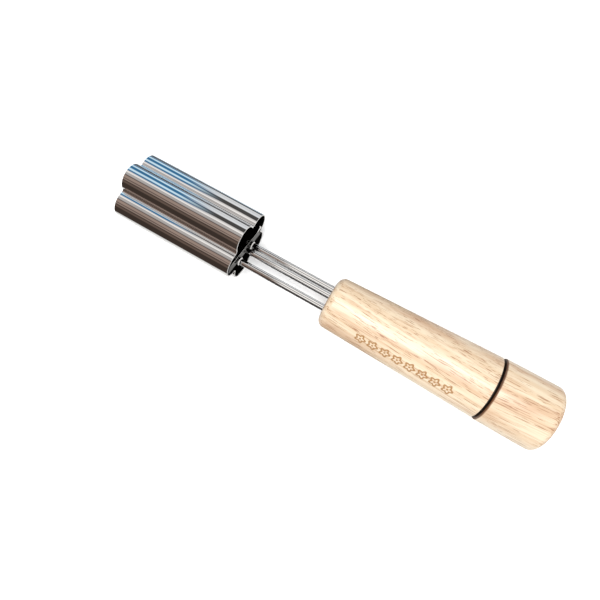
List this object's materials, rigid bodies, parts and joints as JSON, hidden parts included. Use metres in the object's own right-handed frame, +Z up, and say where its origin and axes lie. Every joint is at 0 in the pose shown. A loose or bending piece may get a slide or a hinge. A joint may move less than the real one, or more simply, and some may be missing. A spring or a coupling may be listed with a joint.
{
  "type": "butter mold",
  "caption": "Hand plunger cutter for flower-shaped butter pats: five-petal steel sleeve on fixed rods, tapered wooden grip, and a push knob with rod and ejector plate.",
  "frame": {"origin": "under the middle of the tool's box, on the surface that it lies on", "axes": "+X along the tool from the cutting rim to the push knob, +Y across it, +Z up, with one petal of the flower straight up"},
  "size_m": [0.21, 0.0342, 0.032],
  "materials": {
    "mirror_steel": "mirror-polished stainless sheet",
    "rod_steel": "bright drawn stainless wire",
    "rubberwood": "pale rubberwood, satin clear finish",
    "black_rubber": "matt black",
    "insert_brass": "turned",
    "nylon": "natural white"
  },
  "bodies": {
    "handle": {"cutter_sleeve": "mirror_steel", "rear_strap": "mirror_steel", "support_rod_upper": "rod_steel", "support_rod_lower": "rod_steel", "rod_collar_upper": "mirror_steel", "rod_collar_lower": "mirror_steel", "grip": "rubberwood", "guide_bush": "nylon"},
    "plunger": {"ejector_plate": "mirror_steel", "plate_screw": "rod_steel", "plate_hub": "mirror_steel", "plunger_rod": "rod_steel", "buffer_ring": "black_rubber", "knob_insert": "insert_brass", "push_knob": "rubberwood"}
  },
  "joints": [
    {"name": "plunger_slide", "type": "slide", "parent": "handle", "child": "plunger", "axis": [1, 0, 0], "range_m": [0, 0.048]}
  ]
}
